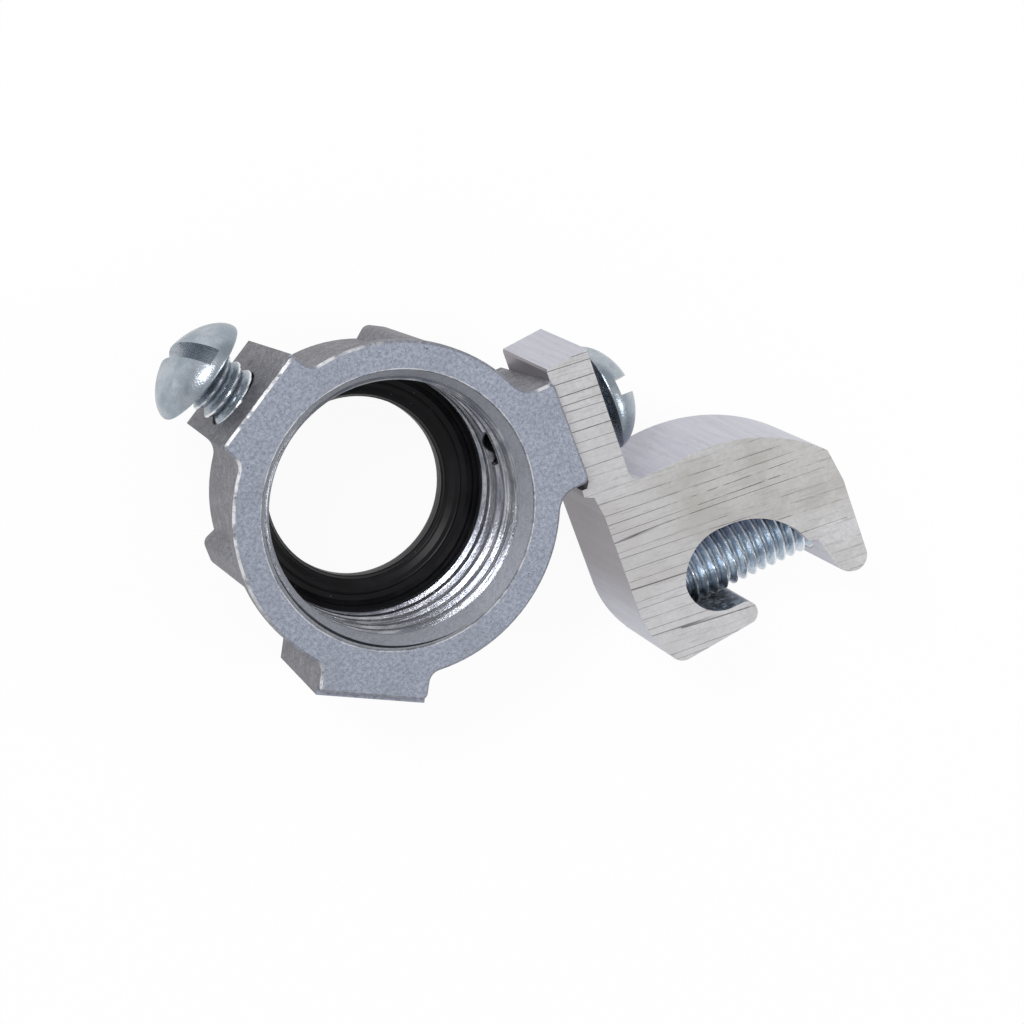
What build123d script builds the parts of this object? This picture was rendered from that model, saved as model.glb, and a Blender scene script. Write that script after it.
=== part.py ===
"""Insulated grounding bushing for half-inch rigid conduit, with a lay-in wire lug.

Millimetres. The origin is on the bore's axis, at the shoulder where the conduit's end stops.
+Z points out of the threaded mouth, and +X points along the boss that carries the lug.
The part lies on its insulated end.
"""
from build123d import *
import math
import os

# Conduit thread, 1/2-14, with a flat crest and a 60 degree groove
THREAD_MAJOR_D = 21.2
THREAD_HEIGHT = 0.85
THREAD_PITCH = 1.814
THREAD_FLAT = 0.1
THREAD_START = 0.963
THREAD_DEPTH = 10.6
MOUTH_D = 21.5
LEAD_IN = 1.6

# Cast body
BODY_LENGTH = 13.1
FLANGE_D = 25.8
FLANGE_T = 1.4
BARREL_WALL = 1.45
CASTING_DRAFT = 1.5
BARREL_END_CHAMFER = 0.45
BOSS_W = 8.65
SEAT_BOSS_W = 8.4
BOSS_EDGE_R = 0.5
BOSS_ROOT_R = 1.1
SEAT_ROOT_R = 2.2
FACE_EDGE = 0.2
SEAT_REACH = 14.8
BOND_REACH = 13.95
PLAIN_REACH = 14.3
RIB_W = 2.1
RIB_FOOT_W = 3.2

# Insulating throat
THROAT_D = 14.4
THROAT_LAND = 1.0
THROAT_ROUND = 1.0
RIM_W = 0.8
RIM_STEP = 0.45
SEAT_D = 20.4
SEAT_GAP = 0.05
BEAD_H = 0.25
BEAD_W = 0.7
LIP_PROUD = 1.2
LIP_D = 21.8
LIP_ROUND = 0.4

# Round-head machine screws, no. 10
SCREW_Z = 4.5
SCREW_D = 4.8
TAPPED_GAP = 0.05
HEAD_D = 8.7
HEAD_H = 2.95
HEAD_EDGE = 0.2
SLOT_W = 1.4
SLOT_DEPTH = 2.1
TIP_CHAMFER = 0.5
LUG_SCREW_L = 6.8
LUG_SCREW_BACKED_OFF = 0.9
LUG_HOLE_PILOT_D = 2.8
BOND_SCREW_L = 6.35
BOND_SCREW_BACKED_OFF = 3.15
BOND_SCREW_SIDE = 0.6
LUG_SCREW_SLOT_TURN = -17
BOND_SCREW_SLOT_TURN = 20

# Lay-in lug, cut from an extruded bar
LUG_L = 9.6
LUG_SWING = 3.8
PLATE_T = 3.6
PLATE_TOP = 5.75
SEAT_CLEARANCE = 0.02
LUG_HOLE_D = 5.4
TOOTH_Y = 4.75
TOOTH_H = 0.45
ARCH_TOP = 5.85
ARM_X = 20.6
ARM_TIP = 21.1
UNDERSIDE = 21.65
CAVITY_X = 5.1
CAVITY_TOP = 12.6
CAVITY_FLOOR = 19.25
HOOK_X = 10.2

# Wire-binding screw, 1/4 inch
BINDER_D = 6.2
BINDER_PITCH = 0.907
BINDER_THREAD_H = 0.48
BINDER_Y = 16.2
BINDER_GAP = 0.05
BINDER_SLOT_W = 1.1
BINDER_SLOT_DEPTH = 1.7
BINDER_POINT = 0.8

Z_FACE = THREAD_DEPTH
Z_BACK = THREAD_DEPTH - BODY_LENGTH
FLANGE_R = FLANGE_D / 2
BORE_R = THREAD_MAJOR_D / 2
CREST_R = BORE_R - THREAD_HEIGHT
BARREL_R = BORE_R + BARREL_WALL
LINER_R = BORE_R + BARREL_WALL * 0.35
BOSSES = (
    (SEAT_REACH, SEAT_BOSS_W, SEAT_ROOT_R, 0),
    (BOND_REACH, BOSS_W, BOSS_ROOT_R, 120),
    (PLAIN_REACH, BOSS_W, BOSS_ROOT_R, 240),
)
LUG_IN = SEAT_REACH + SEAT_CLEARANCE
PLATE_OUT = LUG_IN + PLATE_T


def turned(part, angle):
    """Turn a piece about the bore's axis."""
    return Rot(0, 0, angle) * part


def round_corners(plan, spots, radius):
    """Round the corners of a plan that lie at these spots."""
    corners = [v for v in plan.vertices() if min(math.hypot(v.X - x, v.Y - y) for x, y in spots) < 0.05]
    return fillet(corners, radius)


def bossed_ring(ring_r, allowance, edge_r):
    """Plan of a round wall with its three bosses, each corner and root rounded as far as the boss allows."""
    plan = Circle(ring_r)
    rounds = []
    for reach, width, root_r, angle in BOSSES:
        reach += allowance
        half = width / 2
        root_x = math.sqrt(ring_r**2 - half**2)
        plan += turned(Pos(reach / 2, 0) * Rectangle(reach, width), angle)
        c, s = math.cos(math.radians(angle)), math.sin(math.radians(angle))
        outer, root = [[(x * c - y * s, x * s + y * c) for y in (half, -half)] for x in (reach, root_x)]
        if edge_r:
            rounds.append((outer, min(edge_r, (reach - root_x) * 0.3)))
        rounds.append((root, min(root_r, (reach - root_x - edge_r) * 0.95)))
    for spots, radius in rounds:
        plan = round_corners(plan, spots, radius)
    return plan


def rib():
    """Rib along the barrel, with splayed sides and a rounded crest, between two bosses."""
    foot = BARREL_R - 0.6
    with BuildPart() as piece:
        with BuildSketch(Plane.XY.offset(Z_BACK + 0.35)) as plan:
            Polygon((foot, -RIB_FOOT_W / 2), (FLANGE_R - 0.05, -RIB_W / 2), (FLANGE_R - 0.05, RIB_W / 2),
                    (foot, RIB_FOOT_W / 2), align=None)
            crest = [v for v in plan.vertices() if v.X > FLANGE_R - 0.1]
            fillet(crest, RIB_W / 3)
        extrude(amount=Z_FACE - FLANGE_T / 2 - Z_BACK - 0.35)
        end = [e for e in piece.edges().filter_by_position(Axis.Z, Z_BACK + 0.3, Z_BACK + 0.4)
               if e.center().X > FLANGE_R - 0.8]
        fillet(end, 0.4)
    return piece.part


def bushing_body():
    flange = Pos(0, 0, Z_FACE - FLANGE_T) * extrude(bossed_ring(FLANGE_R, 0, BOSS_EDGE_R), FLANGE_T)
    flange = chamfer([e for e in flange.edges() if e.center().Z > Z_FACE - 0.01], FACE_EDGE)
    # the draft makes the barrel and its bosses smaller towards the end
    allowance = math.tan(math.radians(CASTING_DRAFT)) * BODY_LENGTH
    barrel = Pos(0, 0, Z_FACE - FLANGE_T / 2) * Rot(180, 0, 0) * extrude(
        mirror(bossed_ring(BARREL_R, allowance, 0), Plane.XZ), BODY_LENGTH - FLANGE_T / 2, taper=CASTING_DRAFT)
    body = flange + barrel
    end_edges = [e for e in body.edges() if abs(e.center().Z - Z_BACK) < 0.01]
    body = chamfer(end_edges, BARREL_END_CHAMFER)
    for angle in (60, 180, 300):
        body += turned(rib(), angle)
    # the two drilled bosses have their flats machined square
    for reach, angle in ((SEAT_REACH, 0), (BOND_REACH, 120)):
        body -= turned(Pos(reach + 5, 0, Z_FACE - BODY_LENGTH / 2) * Box(10, BOSS_W + 4, BODY_LENGTH + 2), angle)
    seat_r = SEAT_D / 2
    groove_r = seat_r + BEAD_H
    groove_mid = -1.35
    with BuildPart() as hollow:
        with BuildSketch(Plane.XZ):
            with BuildLine():
                Polyline(
                    (0, Z_FACE + 1), (LINER_R, Z_FACE + 1), (LINER_R, 0), (seat_r, 0),
                    (seat_r, groove_mid + BEAD_W / 2), (groove_r, groove_mid + BEAD_W / 2 - BEAD_H),
                    (groove_r, groove_mid - BEAD_W / 2), (seat_r, groove_mid - BEAD_W / 2),
                    (seat_r, Z_BACK - 1), (0, Z_BACK - 1), close=True)
            make_face()
        revolve(axis=Axis.Z)
    body -= hollow.part
    body += threaded_wall()
    body -= tapped_hole(SEAT_REACH, LUG_HOLE_PILOT_D)
    body -= turned(Pos(0, BOND_SCREW_SIDE, 0) * tapped_hole(BOND_REACH, 0), 120)
    return body


def tapped_hole(reach, pilot_d):
    """Cutter for a screw's hole in a boss. With a pilot it stops short of the bore, and only the pilot goes on."""
    r = SCREW_D / 2 + TAPPED_GAP
    end = reach + 1
    if not pilot_d:
        start = BORE_R - 4
        return Pos((start + end) / 2, 0, SCREW_Z) * Rot(0, 90, 0) * Cylinder(r, end - start)
    start = BORE_R + 0.75
    pilot = Pos(start - 2, 0, SCREW_Z) * Rot(0, 90, 0) * Cylinder(pilot_d / 2, 6)
    return pilot + Pos((start + end) / 2, 0, SCREW_Z) * Rot(0, 90, 0) * Cylinder(r, end - start)


def helical_groove(pitch, r_open, r_root, flat, z_start, turns):
    """Cutter for a right-hand 60 degree thread groove, a little wider than the wall it opens through."""
    over = 0.25 if r_open < r_root else -0.25
    slope = math.tan(math.radians(30))
    half_open = flat / 2 + slope * abs(r_root - (r_open - over))
    path = Pos(0, 0, z_start) * Helix(pitch=pitch, height=pitch * turns, radius=r_root)
    section = Plane(origin=(0, 0, z_start), x_dir=(1, 0, 0), z_dir=(0, -1, 0)) * Polygon(
        (r_open - over, -half_open), (r_root, -flat / 2), (r_root, flat / 2), (r_open - over, half_open), align=None)
    return sweep(section, path=path, is_frenet=True)


def threaded_wall():
    """Inner wall with the conduit thread. It is cut longer than it is, then trimmed square and coned at the mouth."""
    spare = 1.5 * THREAD_PITCH
    whole = THREAD_DEPTH + 2 * spare
    wall = Pos(0, 0, THREAD_DEPTH / 2) * (Cylinder(LINER_R, whole) - Cylinder(CREST_R, whole + 2))
    turns = (THREAD_DEPTH + spare) / THREAD_PITCH
    start = -spare / 2
    groove = helical_groove(THREAD_PITCH, CREST_R, BORE_R, THREAD_FLAT, start, turns)
    wall -= Rot(0, 0, 360 * (start / THREAD_PITCH - THREAD_START)) * groove
    wall &= Pos(0, 0, THREAD_DEPTH / 2) * Box(4 * BORE_R, 4 * BORE_R, THREAD_DEPTH)
    rise = (MOUTH_D / 2 - CREST_R) / LEAD_IN
    cone = Cone(CREST_R, CREST_R + rise * (LEAD_IN + 1), LEAD_IN + 1)
    return wall - Pos(0, 0, THREAD_DEPTH + 1 - (LEAD_IN + 1) / 2) * cone


def insulating_throat():
    outer = SEAT_D / 2 - SEAT_GAP
    throat = THROAT_D / 2
    lip = LIP_D / 2
    z_end = Z_BACK - LIP_PROUD
    z_land = z_end + THROAT_ROUND
    rim = outer - RIM_W
    slope_h = -RIM_STEP - 0.3 - z_land - THROAT_LAND
    bead_mid = -1.35
    with BuildPart() as ring:
        with BuildSketch(Plane.XZ):
            with BuildLine():
                Polyline(
                    (rim, -SEAT_GAP), (outer, -SEAT_GAP), (outer, bead_mid + BEAD_W / 2 - SEAT_GAP),
                    (outer + BEAD_H, bead_mid + BEAD_W / 2 - BEAD_H - SEAT_GAP),
                    (outer + BEAD_H, bead_mid - BEAD_W / 2 + SEAT_GAP), (outer, bead_mid - BEAD_W / 2 + SEAT_GAP),
                    (outer, Z_BACK - SEAT_GAP), (lip, Z_BACK - SEAT_GAP), (lip, z_end + LIP_ROUND))
                Polyline((lip, z_end + LIP_ROUND), (lip - LIP_ROUND * 0.3, z_end + LIP_ROUND * 0.3),
                         (lip - LIP_ROUND, z_end), (throat + THROAT_ROUND, z_end))
                Polyline(*[(throat + THROAT_ROUND * (1 - math.cos(a)), z_land - THROAT_ROUND * math.sin(a))
                           for a in (math.pi / 2, math.pi * 3 / 8, math.pi / 4, math.pi / 8, 0)])
                Polyline((throat, z_land), (throat, z_land + THROAT_LAND),
                         (throat + (rim - throat) * 0.12, z_land + THROAT_LAND + slope_h * 0.45),
                         (throat + (rim - throat) * 0.42, z_land + THROAT_LAND + slope_h * 0.8),
                         (rim - 0.3, z_land + THROAT_LAND + slope_h), (rim, -RIM_STEP), (rim, -SEAT_GAP))
            make_face()
        revolve(axis=Axis.Z)
    return ring.part


def round_head_screw(length):
    """Slotted round-head screw along +X, with the head's underside at x = 0 and the shank towards -X."""
    r = SCREW_D / 2
    head_r = HEAD_D / 2
    # a flattened dome: a ball's crown on two cones
    dome = HEAD_H - HEAD_EDGE
    shoulder = HEAD_EDGE + dome * 0.66
    crown_w = head_r * 0.66
    ball_r = (crown_w**2 + (HEAD_H - shoulder) ** 2) / (2 * (HEAD_H - shoulder))
    crown_mid = HEAD_H - ball_r + math.sqrt(ball_r**2 - (crown_w / 2) ** 2)
    with BuildPart() as screw:
        with BuildSketch(Plane.XZ):
            with BuildLine():
                Polyline((HEAD_H, 0), (-length, 0), (-length, r - TIP_CHAMFER), (-length + TIP_CHAMFER, r),
                         (0, r), (0, head_r - 0.12), (0.12, head_r), (HEAD_EDGE, head_r))
                Polyline((HEAD_EDGE, head_r), (HEAD_EDGE + dome * 0.37, head_r * 0.85), (shoulder, crown_w))
                ThreePointArc((shoulder, crown_w), (crown_mid, crown_w / 2), (HEAD_H, 0))
            make_face()
        revolve(axis=Axis.X)
    slot = Pos(HEAD_H - SLOT_DEPTH / 2 + 0.5, 0, 0) * Box(SLOT_DEPTH + 1, SLOT_W, HEAD_D + 2)
    return screw.part, slot


def lug_screw():
    screw, slot = round_head_screw(LUG_SCREW_L)
    screw -= Rot(LUG_SCREW_SLOT_TURN, 0, 0) * slot
    return Pos(PLATE_OUT + LUG_SCREW_BACKED_OFF, 0, SCREW_Z) * screw


def bonding_screw():
    screw, slot = round_head_screw(BOND_SCREW_L)
    screw -= Rot(BOND_SCREW_SLOT_TURN, 0, 0) * slot
    return turned(Pos(BOND_REACH + BOND_SCREW_BACKED_OFF, BOND_SCREW_SIDE, SCREW_Z) * screw, 120)


def swung(part):
    """Swing a piece with the lug, about its mounting screw."""
    return Pos(0, 0, SCREW_Z) * Rot(LUG_SWING, 0, 0) * part


def lug_profile():
    """The bar's section: plate and tooth, arch over the wire, right arm with its lip, and the hook."""
    x = LUG_IN
    arm = x + ARM_X
    with BuildSketch() as sketch:
        with BuildLine():
            Polyline((x, PLATE_TOP - 0.55), (x + 0.1, PLATE_TOP - 0.35), (PLATE_OUT, PLATE_TOP - 0.1),
                     (PLATE_OUT, -ARCH_TOP + 0.9))
            RadiusArc((PLATE_OUT, -ARCH_TOP + 0.9), (PLATE_OUT + 0.9, -ARCH_TOP), -0.9)
            Line((PLATE_OUT + 0.9, -ARCH_TOP), (x + 7.7, -ARCH_TOP))
            ThreePointArc((x + 7.7, -ARCH_TOP), (x + 14.8, -ARCH_TOP - 1.12), (arm - 0.55, -10.45))
            Line((arm - 0.55, -10.45), (arm, -13.4))
            Line((arm, -13.4), (arm + 0.1, -ARM_TIP + 1.4))
            ThreePointArc((arm + 0.1, -ARM_TIP + 1.4), (arm - 0.33, -ARM_TIP + 0.3), (arm - 1.0, -ARM_TIP))
            ThreePointArc((arm - 1.0, -ARM_TIP), (arm - 1.9, -ARM_TIP + 0.22), (arm - 2.65, -ARM_TIP + 0.9))
            Polyline((arm - 2.65, -ARM_TIP + 0.9), (arm - 3.6, -17.1), (x + 16.2, -16.85))
            ThreePointArc((x + 16.2, -16.85), (x + 13.75, -13.85), (x + 9.6, -CAVITY_TOP))
            ThreePointArc((x + 9.6, -CAVITY_TOP), (x + 6.6, -13.45), (x + CAVITY_X, -15.9))
            ThreePointArc((x + CAVITY_X, -15.9), (x + 5.95, -18.25), (x + 8.2, -CAVITY_FLOOR))
            Line((x + 8.2, -CAVITY_FLOOR), (x + HOOK_X - 0.9, -CAVITY_FLOOR))
            ThreePointArc((x + HOOK_X - 0.9, -CAVITY_FLOOR), (x + HOOK_X, -CAVITY_FLOOR - 0.95),
                          (x + HOOK_X - 0.6, -CAVITY_FLOOR - 1.95))
            Line((x + HOOK_X - 0.6, -CAVITY_FLOOR - 1.95), (x + 3.4, -UNDERSIDE))
            ThreePointArc((x + 3.4, -UNDERSIDE), (x + 2.6, -UNDERSIDE + 0.25), (x + 2.1, -UNDERSIDE + 0.9))
            ThreePointArc((x + 2.1, -UNDERSIDE + 0.9), (x + 1.05, -18.3), (x + 0.72, -15.6))
            Polyline((x + 0.72, -15.6), (x + 0.6, -7.5), (x + 0.3, -TOOTH_Y - 0.95), (x - TOOTH_H, -TOOTH_Y - 0.6),
                     (x - TOOTH_H, -TOOTH_Y), (x, -TOOTH_Y), (x + 0.3, -4.3), (x + 0.3, -3.85), (x, -3.5),
                     (x, PLATE_TOP - 0.55))
        make_face()
    return sketch.sketch


def ground_lug():
    lug = Pos(0, 0, -LUG_L / 2) * extrude(lug_profile(), LUG_L)
    lug -= Pos(LUG_IN + PLATE_T / 2, 0, 0) * Rot(0, 90, 0) * Cylinder(LUG_HOLE_D / 2, PLATE_T + 2)
    start = LUG_IN + CAVITY_X + 0.15
    end = LUG_IN + ARM_X + 3
    lug -= Pos((start + end) / 2, -BINDER_Y, 0) * Rot(0, 90, 0) * Cylinder(BINDER_D / 2 + BINDER_GAP, end - start)
    return swung(lug)


def clamp_screw():
    """Headless slotted screw that presses the wire against the plate side of the cavity."""
    start = LUG_IN + CAVITY_X + 0.4
    end = LUG_IN + ARM_X - 0.1
    r = BINDER_D / 2
    root = r - BINDER_THREAD_H
    outline = [(start, 0), (start, r - BINDER_POINT), (start + BINDER_POINT, r)]
    # the fine thread stands as rings at its true spacing
    first = start + BINDER_POINT + BINDER_PITCH * 0.1
    for i in range(int((end - first) / BINDER_PITCH)):
        x = first + i * BINDER_PITCH
        outline += [(x, r), (x + BINDER_PITCH * 0.42, root), (x + BINDER_PITCH * 0.84, r)]
    outline += [(end, r), (end, 0)]
    with BuildPart() as screw:
        with BuildSketch(Plane.XZ):
            with BuildLine():
                Polyline(*outline, close=True)
            make_face()
        revolve(axis=Axis.X)
    slot = Pos(end - BINDER_SLOT_DEPTH / 2 + 0.5, 0, 0) * Box(BINDER_SLOT_DEPTH + 1, BINDER_SLOT_W, BINDER_D + 2)
    return swung(Pos(0, -BINDER_Y, 0) * (screw.part - slot))


os.makedirs("parts", exist_ok=True)
NODES = {
    "bushing_body": bushing_body,
    "insulating_throat": insulating_throat,
    "bonding_screw": bonding_screw,
    "ground_lug": ground_lug,
    "lug_screw": lug_screw,
    "clamp_screw": clamp_screw,
}
for name, make in NODES.items():
    solid = make()
    solid.label = name
    export_step(solid, f"parts/{name}.step")
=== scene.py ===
"""Looks of the insulated grounding bushing: screw threads, and cast, cut, sawn and plated finishes.

Lengths are written in millimetres and turned into metres where a mesh is made.
"""
import math

import bmesh
import bpy
import numpy as np
from mathutils import Matrix, Vector


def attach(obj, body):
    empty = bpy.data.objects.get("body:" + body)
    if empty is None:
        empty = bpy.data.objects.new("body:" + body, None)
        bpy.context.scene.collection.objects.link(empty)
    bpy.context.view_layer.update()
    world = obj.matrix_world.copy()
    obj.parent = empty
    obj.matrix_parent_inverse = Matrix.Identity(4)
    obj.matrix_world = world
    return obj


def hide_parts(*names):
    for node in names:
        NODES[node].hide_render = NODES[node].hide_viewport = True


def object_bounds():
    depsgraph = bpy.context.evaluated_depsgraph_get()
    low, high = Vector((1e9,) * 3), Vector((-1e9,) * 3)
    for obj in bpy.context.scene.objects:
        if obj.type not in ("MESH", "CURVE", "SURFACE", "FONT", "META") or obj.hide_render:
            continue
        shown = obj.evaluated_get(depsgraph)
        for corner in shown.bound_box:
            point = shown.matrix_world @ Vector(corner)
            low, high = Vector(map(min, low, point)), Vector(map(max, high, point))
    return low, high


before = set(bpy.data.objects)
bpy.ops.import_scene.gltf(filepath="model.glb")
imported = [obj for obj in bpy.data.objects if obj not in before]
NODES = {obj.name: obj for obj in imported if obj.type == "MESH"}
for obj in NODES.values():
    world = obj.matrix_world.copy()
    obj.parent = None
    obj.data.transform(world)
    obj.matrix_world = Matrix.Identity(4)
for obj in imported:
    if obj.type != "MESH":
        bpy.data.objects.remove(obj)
CAD_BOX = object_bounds()
MM = 0.001

# Casting: the conduit thread in its bore, the lead-in cone at the mouth, and the face across the mouth
BORE_R = 10.6
BORE_CREST_R = 9.75
MOUTH_R = 10.75
LEAD_IN_Z = 9.0
FACE_Z = 10.6
FACE_EDGE = 0.2

# Small hole that the lug screw's drill left through the thread, whose wall is painted in shade, and a
# blowhole beside the bonding screw
DRILL_R = 1.4
DRILL_FROM_X = 9.0
BLOWHOLE = (-4.88, 13.29, 2.27)
BLOWHOLE_R = 0.2

# Round-head machine screws: the seats are the undersides of their heads
SCREW_Z = 4.5
SCREW_R = 2.4
SCREW_ROOT_R = 2.0
SCREW_PITCH = 1.058
POINT_CHAMFER = 0.5
HEAD_R = 4.35
HEAD_H = 2.95
HEAD_EDGE = 0.2
DOME_FLATNESS = 1.2
SLOT_W = 1.4
SLOT_DEPTH = 2.1
BOND_ANGLE = 120
BOND_SEAT = 17.1
BOND_SIDE = 0.6
BOND_LENGTH = 6.35
BOND_SLOT_TURN = 20
BOND_THREAD_PHASE = 0.8
LUG_SEAT = 19.32
LUG_LENGTH = 6.8
LUG_SLOT_TURN = -17
LUG_THREAD_PHASE = 0.1

# Lug, swung about the axis of its mounting screw: outside of its plate, foot of its plate, top of its
# arch beside the plate, and inside of its arm
LUG_SWING = 3.8
PLATE_X = 19.1
PLATE_Y = -6.1
ARCH_Y = -8.0
ARM_X = 31.25

# Screw that clamps the wire in the lug
CLAMP_R = 3.1
CLAMP_ROOT_R = 2.56
CLAMP_PITCH = 0.907
CLAMP_CHAMFER = 0.8
CLAMP_END_CHAMFER = 0.3
CLAMP_Y = -16.2
CLAMP_FROM = 20.32
CLAMP_TO = 35.32
CLAMP_SLOT_W = 1.1
CLAMP_SLOT_DEPTH = 1.7
CLAMP_THREAD_PHASE = 0.35

# Thread form as shares of half a pitch, and how finely a thread is drawn
CREST_SHARE = 0.06
ROOT_SHARE = 0.78
FADE_PITCHES = 0.7
STATIONS_PER_PITCH = 14
SCREW_STEPS = 96
CLAMP_STEPS = 84
SHARP_ANGLE = 38

# Zinc plating, dull and clean: the two screws' heads are greyer than the clamp screw
HEAD_DULL = (0.30, 0.35, 0.40)
HEAD_CLEAN = (0.47, 0.51, 0.56)
HEAD_ROUGH = 0.18
CLAMP_DULL = (0.42, 0.50, 0.60)
CLAMP_CLEAN = (0.68, 0.76, 0.84)
CLAMP_ROUGH = 0.1

# Saw lines on the lug's ends
SAW_SLANT = -6.6
SAW_SPACING = 0.86

# Camera, lamps and room
CAMERA_PLACE = (-42.22, 53.65, 202.33)
CAMERA_BACK = (-0.2438, 0.2781, 0.9291)
CAMERA_UP = (0.4083, 0.8984, -0.1619)
CAMERA_LENS = 95.12
CAMERA_SENSOR = 36
WHITE = (1, 1, 1)
ROOM_LIGHT = 0.62
FLOOR_HALF_M = 3


# Meshes

def solid_from(name, points, faces, place):
    """A closed piece from points in millimetres, set at its place."""
    mesh = bpy.data.meshes.new(name)
    spots = [place @ Vector(point) for point in points]
    mesh.from_pydata([spot * MM for spot in spots], [], faces)
    built = bmesh.new()
    built.from_mesh(mesh)
    bmesh.ops.recalc_face_normals(built, faces=built.faces)
    built.to_mesh(mesh)
    built.free()
    smooth(mesh)
    piece = bpy.data.objects.new(name, mesh)
    bpy.context.scene.collection.objects.link(piece)
    return piece


def smooth(mesh):
    """Smooth shading with the sharp edges kept."""
    mesh.polygons.foreach_set("use_smooth", [True] * len(mesh.polygons))
    mesh.set_sharp_from_angle(angle=math.radians(SHARP_ANGLE))


def lathe(name, along, radius, place):
    """A closed turned piece about its own X axis. radius has one row for each station along the axis."""
    rows, steps = radius.shape
    turn = np.arange(steps) * 2 * math.pi / steps
    level = np.repeat(along[:, None], steps, 1)
    points = np.stack([level, radius * np.cos(turn), radius * np.sin(turn)], 2).reshape(-1, 3).tolist()
    faces = []
    for row in range(rows - 1):
        a = row * steps
        b = a + steps
        for j in range(steps):
            k = (j + 1) % steps
            faces.append((a + j, a + k, b + k, b + j))
    for row in (0, rows - 1):
        centre = len(points)
        points.append([float(along[row]), 0, 0])
        for j in range(steps):
            faces.append((centre, row * steps + j, row * steps + (j + 1) % steps))
    return solid_from(name, points, faces, place)


def block(name, low, high, place):
    """A square block between two corners."""
    corners = [(x, y, z) for x in (low[0], high[0]) for y in (low[1], high[1]) for z in (low[2], high[2])]
    faces = [(0, 1, 3, 2), (4, 6, 7, 5), (0, 4, 5, 1), (2, 3, 7, 6), (0, 2, 6, 4), (1, 5, 7, 3)]
    return solid_from(name, corners, faces, place)


def cut_away(piece, cutter):
    """Cuts another closed piece out of a piece."""
    step = piece.modifiers.new("cut", "BOOLEAN")
    step.operation = "DIFFERENCE"
    step.solver = "EXACT"
    step.object = cutter
    bpy.context.view_layer.update()
    mesh = bpy.data.meshes.new_from_object(piece.evaluated_get(bpy.context.evaluated_depsgraph_get()))
    piece.modifiers.clear()
    piece.data = mesh
    bpy.data.objects.remove(cutter)
    smooth(mesh)
    return piece


def stations(length, pitch):
    """How many stations draw a threaded length."""
    return int(length / pitch * STATIONS_PER_PITCH)


def threaded_radii(along, steps, crest_r, root_r, pitch, phase, fade_end, chamfer):
    """Radii of a right-hand threaded shank, chamfered at its low end. Its thread fades out at fade_end."""
    turn = np.arange(steps) / steps
    share = np.mod(along[:, None] / pitch - turn[None, :] - phase, 1.0)
    from_crest = 2 * np.minimum(share, 1 - share)
    height = np.clip((ROOT_SHARE - from_crest) / (ROOT_SHARE - CREST_SHARE), 0, 1)
    fade = np.clip((fade_end - along) / (FADE_PITCHES * pitch), 0, 1)[:, None]
    cone = (crest_r - chamfer + along - along[0])[:, None]
    return np.minimum(root_r + (crest_r - root_r) * height * fade, cone)


def round_head_screw(name, length, place, slot_turn, phase):
    """Slotted round-head machine screw along X, with the head's underside at x = 0."""
    steps = SCREW_STEPS
    neck = 0.02
    run_out = 0.25
    shank_x = np.linspace(-length, -neck, stations(length, SCREW_PITCH))
    shank_r = threaded_radii(shank_x, steps, SCREW_R, SCREW_ROOT_R, SCREW_PITCH, phase, run_out,
                             POINT_CHAMFER)
    rise = np.linspace(0, math.pi / 2, 26)[:-1]
    dome_x = HEAD_EDGE + (HEAD_H - HEAD_EDGE) * np.sin(rise) ** DOME_FLATNESS
    dome_r = HEAD_R * np.cos(rise) ** DOME_FLATNESS
    rim_x = [0.0, 0.0, 0.04, 0.12]
    rim_r = [SCREW_ROOT_R + 0.1, HEAD_R - 0.14, HEAD_R - 0.04, HEAD_R]
    head_x = np.concatenate([rim_x, dome_x, [HEAD_H]])
    head_r = np.concatenate([rim_r, dome_r, [0.05]])
    radii = np.concatenate([shank_r, np.repeat(head_r[:, None], steps, 1)])
    screw = lathe(name, np.concatenate([shank_x, head_x]), radii, place)
    turn = Matrix.Rotation(math.radians(slot_turn), 4, "X")
    half = SLOT_W / 2
    reach = HEAD_R + 1
    slot_low = (HEAD_H - SLOT_DEPTH, -half, -reach)
    slot = block(name + "_slot", slot_low, (HEAD_H + 1, half, reach), place @ turn)
    return cut_away(screw, slot)


def clamp_screw(name, place):
    """Headless slotted screw that clamps the wire, threaded from its point to its slotted end."""
    along = np.linspace(CLAMP_FROM, CLAMP_TO, stations(CLAMP_TO - CLAMP_FROM, CLAMP_PITCH))
    # the thread runs out through the slotted end at its full height
    past_end = CLAMP_TO + 9
    radii = threaded_radii(along, CLAMP_STEPS, CLAMP_R, CLAMP_ROOT_R, CLAMP_PITCH, CLAMP_THREAD_PHASE,
                           past_end, CLAMP_CHAMFER)
    end_cone = (CLAMP_R - CLAMP_END_CHAMFER + CLAMP_TO - along)[:, None]
    screw = lathe(name, along, np.minimum(radii, end_cone), place)
    half = CLAMP_SLOT_W / 2
    slot = block(name + "_slot", (CLAMP_TO - CLAMP_SLOT_DEPTH, -half, -5), (CLAMP_TO + 1, half, 5), place)
    return cut_away(screw, slot)


# Shader maths

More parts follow.
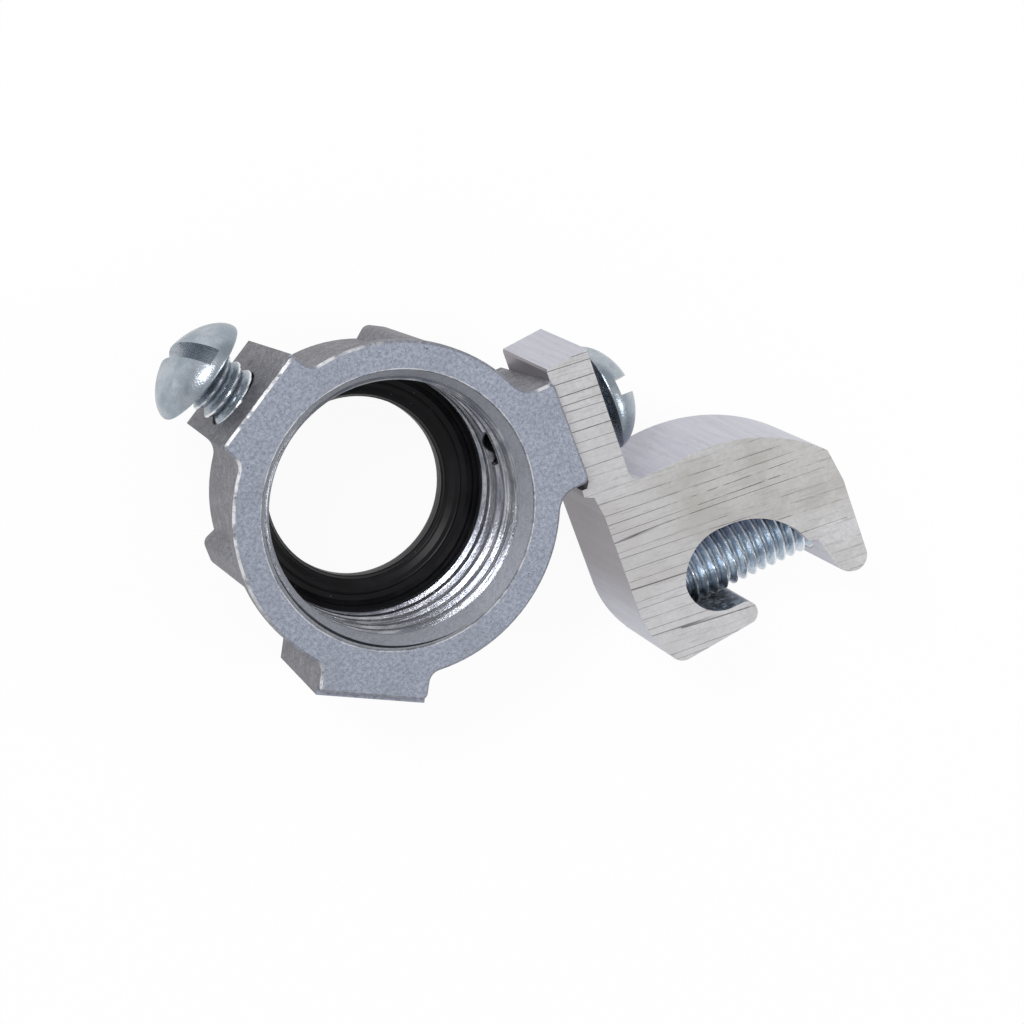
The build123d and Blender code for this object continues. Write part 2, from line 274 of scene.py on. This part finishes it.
class Flow:
    """A value on its way through a material, which can be used in sums."""

    def __init__(self, paint, socket):
        self.paint = paint
        self.socket = socket

    def math(self, operation, *values):
        return self.paint.node("ShaderNodeMath", {"operation": operation}, dict(enumerate(values)))

    def __add__(self, other):
        return self.math("ADD", self, other)

    def __radd__(self, other):
        return self.math("ADD", other, self)

    def __sub__(self, other):
        return self.math("SUBTRACT", self, other)

    def __rsub__(self, other):
        return self.math("SUBTRACT", other, self)

    def __mul__(self, other):
        return self.math("MULTIPLY", self, other)

    def __rmul__(self, other):
        return self.math("MULTIPLY", other, self)

    def __truediv__(self, other):
        return self.math("DIVIDE", self, other)

    def __rtruediv__(self, other):
        return self.math("DIVIDE", other, self)

    def __pow__(self, other):
        return self.math("POWER", self, other)

    def __rpow__(self, other):
        return self.math("POWER", other, self)

    def __abs__(self):
        return self.math("ABSOLUTE", self)

    def whole(self):
        return self.math("FLOOR", self)

    def part(self):
        return self.math("FRACT", self)

    def most(self, other):
        return self.math("MAXIMUM", self, other)

    def beside(self, name):
        """Another output of the same node."""
        return Flow(self.paint, self.socket.node.outputs[name])


class Paint:
    """The nodes of one material, or of the room's light."""

    def __init__(self, owner, output="ShaderNodeOutputMaterial"):
        self.owner = owner
        owner.use_nodes = True
        self.tree = owner.node_tree
        self.tree.nodes.clear()
        self.output = self.tree.nodes.new(output)

    def node(self, kind, settings=None, sockets=None, out=0):
        made = self.tree.nodes.new(kind)
        for key, value in (settings or {}).items():
            setattr(made, key, value)
        for key, value in (sockets or {}).items():
            self.feed(made.inputs[key], value)
        return Flow(self, made.outputs[out])

    def feed(self, socket, value):
        if isinstance(value, Flow):
            self.tree.links.new(value.socket, socket)
        elif socket.type == "RGBA":
            socket.default_value = (*value, 1.0)
        else:
            socket.default_value = value

    # Places on the piece, in millimetres

    def spot(self):
        place = self.node("ShaderNodeTexCoord", out="Object")
        return self.node("ShaderNodeVectorMath", {"operation": "SCALE"}, {0: place, "Scale": 1 / MM})

    def facing(self):
        return self.node("ShaderNodeTexCoord", out="Normal")

    def split(self, vector):
        first = self.node("ShaderNodeSeparateXYZ", None, {0: vector})
        return [first.beside(axis) for axis in "XYZ"]

    def join(self, x, y, z):
        return self.node("ShaderNodeCombineXYZ", None, {0: x, 1: y, 2: z})

    def turned(self, vector, axis, angle, centre):
        return self.node("ShaderNodeVectorRotate", {"rotation_type": "AXIS_ANGLE"},
                         {"Vector": vector, "Center": centre, "Axis": axis, "Angle": math.radians(angle)})

    def stretched(self, vector, scale):
        return self.node("ShaderNodeVectorMath", {"operation": "MULTIPLY"}, {0: vector, 1: scale})

    def distance(self, first, *others):
        """Distance whose parts at right angles are given."""
        total = first * first
        for other in others:
            total = total + other * other
        return total ** 0.5

    # Patterns

    def noise(self, vector, scale, detail=3.0, rough=0.5):
        return self.node("ShaderNodeTexNoise", None,
                         {"Vector": vector, "Scale": scale, "Detail": detail, "Roughness": rough}, "Fac")

    def dots(self, vector, scale, low, high):
        """Small round dots, full up to low and gone at high."""
        away = self.node("ShaderNodeTexVoronoi", None, {"Vector": vector, "Scale": scale}, "Distance")
        return self.ease(away, low, high, 1.0, 0.0)

    def dice(self, value):
        """One random number for each whole value."""
        return self.node("ShaderNodeTexWhiteNoise", {"noise_dimensions": "1D"}, {"W": value}, "Value")

    def ease(self, value, low, high, start=0.0, end=1.0):
        """From start to end, smoothly, as the value goes from low to high."""
        sockets = {"Value": value, "From Min": low, "From Max": high, "To Min": start, "To Max": end}
        return self.node("ShaderNodeMapRange", {"interpolation_type": "SMOOTHSTEP"}, sockets)

    def blend(self, share, first, second):
        return self.node("ShaderNodeMix", {"data_type": "RGBA"}, {0: share, 6: first, 7: second}, 2)

    # Surface

    def relief(self, height, depth, under=None):
        """Bump whose height is in millimetres times depth."""
        sockets = {"Height": height, "Distance": depth * MM, "Strength": 1.0}
        if under is not None:
            sockets["Normal"] = under
        return self.node("ShaderNodeBump", None, sockets)

    def surface(self, **sockets):
        named = {key.replace("_", " "): value for key, value in sockets.items()}
        return self.cover(self.node("ShaderNodeBsdfPrincipled", None, named))

    def cover(self, shader):
        """Sends a shader to the output."""
        self.tree.links.new(shader.socket, self.output.inputs[0])
        return self.owner


def material(name):
    return Paint(bpy.data.materials.new(name))


# Finishes

def cast_skin(p, spot, across, lightened):
    """Colour, roughness and relief of the cast skin: cool and pale across the bore, darker elsewhere."""
    grain = p.noise(spot, 3.4, 5.0, 0.62)
    speck = p.noise(spot, 9.0, 3.0, 0.7)
    cloud = p.noise(spot, 0.28, 3.0, 0.55)
    patch = p.noise(spot, 0.9, 4.0, 0.65)
    pits = p.dots(spot, 1.5, 0.03, 0.14) * p.ease(p.noise(spot, 0.6, 2.0), 0.52, 0.62)
    grained = p.ease(grain, 0.3, 0.72)
    face = p.blend(grained, (0.245, 0.272, 0.34), (0.41, 0.44, 0.53))
    face = p.blend(lightened * 0.5, face, (0.58, 0.59, 0.63))
    side = p.blend(grained, (0.133, 0.131, 0.146), (0.315, 0.31, 0.34))
    side = p.blend(p.ease(patch, 0.42, 0.62), p.blend(0.35, side, (0.08, 0.08, 0.09)), side)
    side = p.blend(p.ease(patch, 0.6, 0.72) * 0.4, side, (0.42, 0.42, 0.45))
    colour = p.blend(across, side, face)
    colour = p.blend(p.ease(speck, 0.5, 0.72) * 0.5, colour, (0.58, 0.605, 0.67))
    colour = p.blend(p.ease(speck, 0.34, 0.46, 1.0, 0.0) * 0.4, colour, (0.15, 0.16, 0.19))
    colour = p.blend(p.ease(cloud, 0.45, 0.75) * 0.2, colour, (0.2, 0.2, 0.22))
    colour = p.blend(pits * 0.7, colour, (0.08, 0.08, 0.085))
    bump = p.relief(grain * 0.6 + speck * 0.4 - pits * 0.9, 0.05)
    return colour, 0.42 + grain * 0.22, bump


def cut_thread(p, spot, radius, z):
    """Colour, roughness and turned lines of the cut thread, with bright flanks and painted shade in its
    roots.
    """
    root = p.ease(radius, BORE_CREST_R + 0.32, BORE_R - 0.22)
    stain = p.noise(p.stretched(spot, (0.5, 0.5, 1.6)), 0.8, 4.0, 0.6)
    turned = p.noise(p.join(radius * 9.0, z * 9.0, 0.0), 1.0, 2.0, 0.6)
    lines = p.noise(p.join(radius * 3.2, z * 3.2, stain), 1.0, 3.0, 0.65)
    colour = p.blend(p.ease(stain, 0.35, 0.7), (0.27, 0.285, 0.335), (0.66, 0.675, 0.73))
    colour = p.blend(p.ease(lines, 0.46, 0.6) * 0.7, colour, (0.08, 0.085, 0.105))
    # painted shade: the thread's roots darken to near black
    colour = p.blend(root * 0.97, colour, (0.02, 0.021, 0.026))
    return colour, 0.08 + root * 0.2 + stain * 0.1, turned


def cast_zinc():
    """Die-cast zinc with painted highlights on its edges and its bore freshly cut, with painted shade in
    the thread's roots and the drill hole.
    """
    p = material("cast_zinc")
    spot = p.spot()
    x, y, z = p.split(spot)
    nx, ny, nz = p.split(p.facing())
    radius = p.distance(x, y)
    facing_z = abs(nz)
    bore = p.ease(radius, MOUTH_R - 0.1, MOUTH_R - 0.04, 1.0, 0.0)
    lead_in = bore * p.ease(z, LEAD_IN_Z - 0.1, LEAD_IN_Z + 0.1) * p.ease(facing_z, 0.7, 0.8, 1.0, 0.0)
    cut = bore * (1 - lead_in)
    colour, rough, bump = cast_skin(p, spot, p.ease(facing_z, 0.55, 0.9).most(lead_in), lead_in)
    # the blowhole shows as a small dark ring
    hole = p.distance(x - BLOWHOLE[0], y - BLOWHOLE[1], z - BLOWHOLE[2])
    colour = p.blend(p.ease(abs(hole - BLOWHOLE_R), 0.05, 0.12, 0.8, 0.0), colour, (0.05, 0.05, 0.055))
    # edges with painted highlights: white on the chamfer on the side that faces the key lamp, and on the
    # rim of the mouth
    highlight_breaks = p.ease(p.noise(spot, 0.8, 5.0, 0.7), 0.36, 0.6)
    chamfer = p.ease(facing_z, 0.6, 0.66) * p.ease(facing_z, 0.76, 0.82, 1.0, 0.0)
    chamfer = chamfer * p.ease(z, FACE_Z - FACE_EDGE - 0.1, FACE_Z - FACE_EDGE - 0.02)
    faces_key_lamp = p.ease(ny * 0.7 - nx * 0.7, 0.15, 0.66)
    rim = p.ease(abs(radius - MOUTH_R), 0.03, 0.09, 1.0, 0.0)
    rim = rim * p.ease(z, FACE_Z - FACE_EDGE, FACE_Z - FACE_EDGE / 2)
    edge_highlight = (chamfer * faces_key_lamp).most(rim * 0.7) * highlight_breaks
    colour = p.blend(edge_highlight, colour, (0.88, 0.89, 0.91))
    rough = rough * (1 - edge_highlight * 0.4)
    thread_colour, thread_rough, turned = cut_thread(p, spot, radius, z)
    colour = p.blend(cut, colour, thread_colour)
    # painted shade: the wall of the drill hole through the thread is darkened to near black
    drill = p.ease(p.distance(y, z - SCREW_Z), DRILL_R + 0.02, DRILL_R + 0.1, 1.0, 0.0)
    drill = drill * p.ease(x, DRILL_FROM_X, DRILL_FROM_X + 0.3)
    colour = p.blend(drill * 0.95, colour, (0.012, 0.012, 0.014))
    rough = rough + cut * (thread_rough - rough)
    bump = p.relief(turned * cut, 0.02, bump)
    return p.surface(Base_Color=colour, Metallic=0.65 + cut * 0.27, Roughness=rough, Normal=bump)


def black_moulding():
    """Black moulded insulator with faint turned rings in its skin, and dust on it."""
    p = material("black_moulding")
    spot = p.spot()
    x, y, z = p.split(spot)
    ring = p.ease(abs(((p.distance(x, y) - z) * 1.6).part() - 0.5), 0.36, 0.5)
    haze = p.noise(spot, 0.5)
    fine = p.noise(spot, 9.0, 2.0)
    dust = p.dots(spot, 1.1, 0.04, 0.1) * p.ease(p.noise(spot, 0.5, 2.0), 0.5, 0.6)
    colour = p.blend(p.ease(haze, 0.35, 0.75), (0.004, 0.004, 0.005), (0.010, 0.010, 0.013))
    colour = p.blend(dust * 0.5, colour, (0.2, 0.2, 0.21))
    bump = p.relief(ring * 0.8 + fine * 0.12, 0.05)
    return p.surface(Base_Color=colour, Roughness=0.24 + haze * 0.22, Normal=bump, Specular_IOR_Level=0.22)


def zinc_plate(name, dull, clean, rough, end, crest, root):
    """Bright blue zinc plating. The thread behind the end has painted highlights on its crests and painted
    shade in its roots.
    """
    p = material(name)
    spot = p.spot()
    cloud = p.noise(spot, 0.55, 3.0, 0.55)
    fine = p.noise(spot, 5.0, 4.0, 0.6)
    colour = p.blend(p.ease(cloud, 0.35, 0.68), dull, clean)
    colour = p.blend(p.ease(fine, 0.55, 0.75) * 0.4, colour, (0.20, 0.26, 0.31))
    # along and away from the screw's own axis, which is the X axis of its end
    x, y, z = p.split(spot)
    rows = list(end.inverted())[:3]
    along, side, rise = [x * row[0] + y * row[1] + z * row[2] + row[3] for row in rows]
    away = p.distance(side, rise)
    thread = p.ease(along, -0.1, 0.0, 1.0, 0.0)
    # painted highlight on the thread's crests, then painted shade in its roots
    colour = p.blend(thread * p.ease(away, crest - 0.14, crest - 0.04), colour, (0.84, 0.87, 0.90))
    colour = p.blend(thread * p.ease(away, root + 0.02, root + 0.18, 0.35, 0.0), colour, (0.10, 0.14, 0.18))
    bump = p.relief(fine, 0.025)
    return p.surface(Base_Color=colour, Metallic=0.92, Roughness=rough + fine * 0.18, Normal=bump)


def sawn_face(p, spot, grain):
    """Colour and saw lines of the lug's sawn ends."""
    x, y, z = p.split(spot)
    slant = math.radians(SAW_SLANT)
    level = y * math.cos(slant) - x * math.sin(slant)
    wander = p.noise(p.join(level * 0.35, x * 0.02, 0.0), 1.0, 1.0) * 1.6
    crowd = p.noise(p.join(level * 1.1, x * 0.012, 4.0), 1.0, 1.0) * 1.1
    lane = level / SAW_SPACING + wander + crowd
    number = lane.whole()
    line = p.ease(abs(lane.part() - 0.5), 0.448, 0.496) * p.ease(p.dice(number), 0.05, 0.9, 0.12, 1.0)
    # the lines are whole on the plate and beside it, torn farther out, and faint on the arm
    plate = p.ease(y, PLATE_Y - 0.7, PLATE_Y + 0.7) * p.ease(x, PLATE_X - 0.5, PLATE_X + 0.5, 1.0, 0.0)
    near = p.ease(x + y * 0.3, 15.5, 20.5, 0.75, 0.0)
    ragged = p.noise(p.join(x * 0.45, level * 2.4, z), 1.0, 3.0, 0.65)
    torn = p.ease(ragged, 0.4, 0.56) * 0.8
    line = line * plate.most(near).most(torn) * p.ease(x, ARM_X - 0.75, ARM_X + 0.75, 1.0, 0.35)
    scratch = p.noise(p.join(x * 0.5, level * 9.0, z), 1.0, 3.0, 0.6)
    cloud = p.noise(spot, 0.33, 3.0, 0.55)
    stained = p.ease(y, -17.5, -13.0) * p.ease(y, -7.5, -5.0, 1.0, 0.0)
    colour = p.blend(p.ease(grain, 0.3, 0.7), (0.51, 0.505, 0.515), (0.62, 0.615, 0.63))
    colour = p.blend(stained * 0.45 + p.ease(cloud, 0.42, 0.66) * 0.35, colour, (0.40, 0.39, 0.365))
    colour = p.blend(p.dice(number + 31.0) * 0.2, colour, (0.62, 0.615, 0.63))
    colour = p.blend(near * 0.55, colour, (0.62, 0.61, 0.63))
    colour = p.blend(p.ease(scratch, 0.54, 0.7) * 0.4, colour, (0.26, 0.255, 0.26))
    colour = p.blend(line * 0.95, colour, (0.05, 0.048, 0.048))
    return colour, line


def drawn_face(p, spot, nx, ny):
    """Colour and height of the lug's smooth drawn faces, with painted light at the arch's root and painted
    shade on the inner side and in the wire cavity.
    """
    x, y, z = p.split(spot)
    streak = p.noise(p.stretched(spot, (2.4, 2.4, 0.12)), 1.0, 3.0, 0.6)
    mottle = p.noise(spot, 1.1, 4.0, 0.6)
    nicks = p.noise(p.stretched(spot, (5.0, 5.0, 1.6)), 1.0, 3.0, 0.6)
    colour = p.blend(p.ease(streak, 0.3, 0.7), (0.475, 0.47, 0.545), (0.565, 0.565, 0.64))
    colour = p.blend(p.ease(mottle, 0.4, 0.66) * 0.3, colour, (0.58, 0.58, 0.62))
    colour = p.blend(p.ease(nicks, 0.6, 0.7) * 0.35, colour, (0.30, 0.28, 0.29))
    # painted light: the arch's upper faces near the plate are lightened against the shade there
    lit_arch_root = p.ease(x, 20.5, 25.0, 0.45, 0.0) * p.ease(ny, 0.2, 0.6)
    lit_arch_root = lit_arch_root * p.ease(y, ARCH_Y - 1.0, ARCH_Y + 1.0, 1.0, 0.0)
    colour = p.blend(lit_arch_root, colour, (0.68, 0.68, 0.76))
    # painted shade: the inner side darkens towards the tooth
    inner_side_shade = p.ease(nx, -0.85, -0.5, 1.0, 0.0) * p.ease(y, -17.8, -12.5)
    colour = p.blend(inner_side_shade * 0.72, colour, (0.30, 0.275, 0.275))
    # painted shade: the wire cavity is darkened under the clamp screw's point, with paler bluish patches
    cavity_shade = p.ease(x, 22.8, 25.6, 1.0, 0.0) * p.ease(y, -17.6, -16.0, 1.0, 0.0)
    cavity_shade = cavity_shade * p.ease(nx + ny, 0.05, 0.4)
    shade_breaks = p.ease(p.noise(spot, 1.8, 4.0, 0.7), 0.45, 0.62)
    colour = p.blend(cavity_shade * 0.9, colour, p.blend(shade_breaks, (0.04, 0.05, 0.065), (0.42, 0.48, 0.54)))
    return colour, streak * 0.08 + mottle * 0.1


def sawn_aluminium():
    """Extruded bar: sawn ends with slanting tool lines, and smooth drawn faces."""
    p = material("sawn_aluminium")
    spot = p.turned(p.spot(), (1, 0, 0), -LUG_SWING, (0, 0, SCREW_Z))
    nx, ny, nz = p.split(p.facing())
    sawn = p.ease(abs(nz), 0.75, 0.92)
    grain = p.noise(spot, 3.2, 5.0, 0.6)
    saw_colour, line = sawn_face(p, spot, grain)
    drawn_colour, drawn_height = drawn_face(p, spot, nx, ny)
    colour = p.blend(sawn, drawn_colour, saw_colour)
    rough = 0.34 + sawn * 0.16 + grain * 0.08
    height = sawn * (grain * 0.16 - line) + (1 - sawn) * drawn_height
    return p.surface(Base_Color=colour, Metallic=0.7, Roughness=rough, Normal=p.relief(height, 0.08))


# The dressed bushing

def dress(piece, finish):
    piece.data.materials.clear()
    piece.data.materials.append(finish)


def stand_for(piece, node):
    """The piece takes the place of a plain screw, whose body has the same name, and moves with it."""
    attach(piece, node)
    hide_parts(node)


def round_head(node, length, seat, slot_turn, phase):
    """One of the two round-head screws, with its thread and its plating."""
    screw = round_head_screw(node + "_threaded", length, seat, slot_turn, phase)
    plating = zinc_plate(node + "_plate", HEAD_DULL, HEAD_CLEAN, HEAD_ROUGH, seat, SCREW_R, SCREW_ROOT_R)
    dress(screw, plating)
    stand_for(screw, node)


dress(NODES["bushing_body"], cast_zinc())
dress(NODES["insulating_throat"], black_moulding())
dress(NODES["ground_lug"], sawn_aluminium())

bond_boss = Matrix.Rotation(math.radians(BOND_ANGLE), 4, "Z")
bond_seat = bond_boss @ Matrix.Translation((BOND_SEAT, BOND_SIDE, SCREW_Z))
lug_seat = Matrix.Translation((LUG_SEAT, 0, SCREW_Z))
round_head("bonding_screw", BOND_LENGTH, bond_seat, BOND_SLOT_TURN, BOND_THREAD_PHASE)
round_head("lug_screw", LUG_LENGTH, lug_seat, LUG_SLOT_TURN, LUG_THREAD_PHASE)

lug_place = Matrix.Translation((0, 0, SCREW_Z)) @ Matrix.Rotation(math.radians(LUG_SWING), 4, "X")
clamp_place = lug_place @ Matrix.Translation((0, CLAMP_Y, 0))
past_slot = clamp_place @ Matrix.Translation((CLAMP_TO + 1, 0, 0))
clamp = clamp_screw("clamp_screw_threaded", clamp_place)
clamp_plating = zinc_plate("clamp_screw_plate", CLAMP_DULL, CLAMP_CLEAN, CLAMP_ROUGH, past_slot,
                           CLAMP_R, CLAMP_ROOT_R)
dress(clamp, clamp_plating)
stand_for(clamp, "clamp_screw")


# Stage, light and camera

def pale_floor():
    """A plain floor that looks white and still takes the object's shadow."""
    p = material("pale_floor")
    cloth = p.node("ShaderNodeBsdfDiffuse", None, {"Color": (0.9, 0.9, 0.9)})
    white = p.node("ShaderNodeEmission", None, {"Color": WHITE, "Strength": 1.0})
    seen = p.node("ShaderNodeLightPath", out="Is Camera Ray")
    mirrored = seen.beside("Is Glossy Ray")
    share = (seen * 0.94).most(mirrored * 0.6)
    finish = p.cover(p.node("ShaderNodeMixShader", None, {0: share, 1: cloth, 2: white}))
    mesh = bpy.data.meshes.new("floor")
    low = CAD_BOX[0].z
    corners = [(x * FLOOR_HALF_M, y * FLOOR_HALF_M, low) for x, y in ((-1, -1), (1, -1), (1, 1), (-1, 1))]
    mesh.from_pydata(corners, [], [(0, 1, 2, 3)])
    mesh.materials.append(finish)
    floor = bpy.data.objects.new("floor", mesh)
    bpy.context.scene.collection.objects.link(floor)


def soft_lamp(name, place, target, width, power):
    """A round lamp that points at a target."""
    lamp = bpy.data.lights.new(name, "AREA")
    lamp.shape = "DISK"
    lamp.size = width * MM
    lamp.energy = power
    holder = bpy.data.objects.new(name, lamp)
    place = Vector(place) * MM
    holder.location = place
    holder.rotation_mode = "QUATERNION"
    holder.rotation_quaternion = (Vector(target) * MM - place).to_track_quat("-Z", "Y")
    bpy.context.scene.collection.objects.link(holder)


def white_room():
    """Even light all round, with a background that the camera sees as white."""
    world = bpy.data.worlds.new("white_room")
    bpy.context.scene.world = world
    p = Paint(world, "ShaderNodeOutputWorld")
    light = p.node("ShaderNodeBackground", None, {"Color": WHITE, "Strength": ROOM_LIGHT})
    backdrop = p.node("ShaderNodeBackground", None, {"Color": WHITE, "Strength": 1.0})
    seen = p.node("ShaderNodeLightPath", out="Is Camera Ray")
    p.cover(p.node("ShaderNodeMixShader", None, {0: seen, 1: light, 2: backdrop}))


def photo_camera():
    data = bpy.data.cameras.new("camera")
    data.sensor_width = CAMERA_SENSOR
    data.lens = CAMERA_LENS
    data.clip_start = 0.01
    data.clip_end = 20
    camera = bpy.data.objects.new("camera", data)
    back = Vector(CAMERA_BACK).normalized()
    right = Vector(CAMERA_UP).cross(back).normalized()
    up = back.cross(right)
    turn = Matrix((right, up, back)).transposed().to_4x4()
    camera.matrix_world = Matrix.Translation(Vector(CAMERA_PLACE) * MM) @ turn
    bpy.context.scene.collection.objects.link(camera)
    bpy.context.scene.camera = camera


pale_floor()
white_room()
soft_lamp("key", (-130, 250, 300), (0, 0, 0), 150, 0.75)
soft_lamp("fill", (260, -120, 220), (10, -5, 0), 180, 0.3)
photo_camera()
bpy.context.scene.view_settings.view_transform = "Standard"
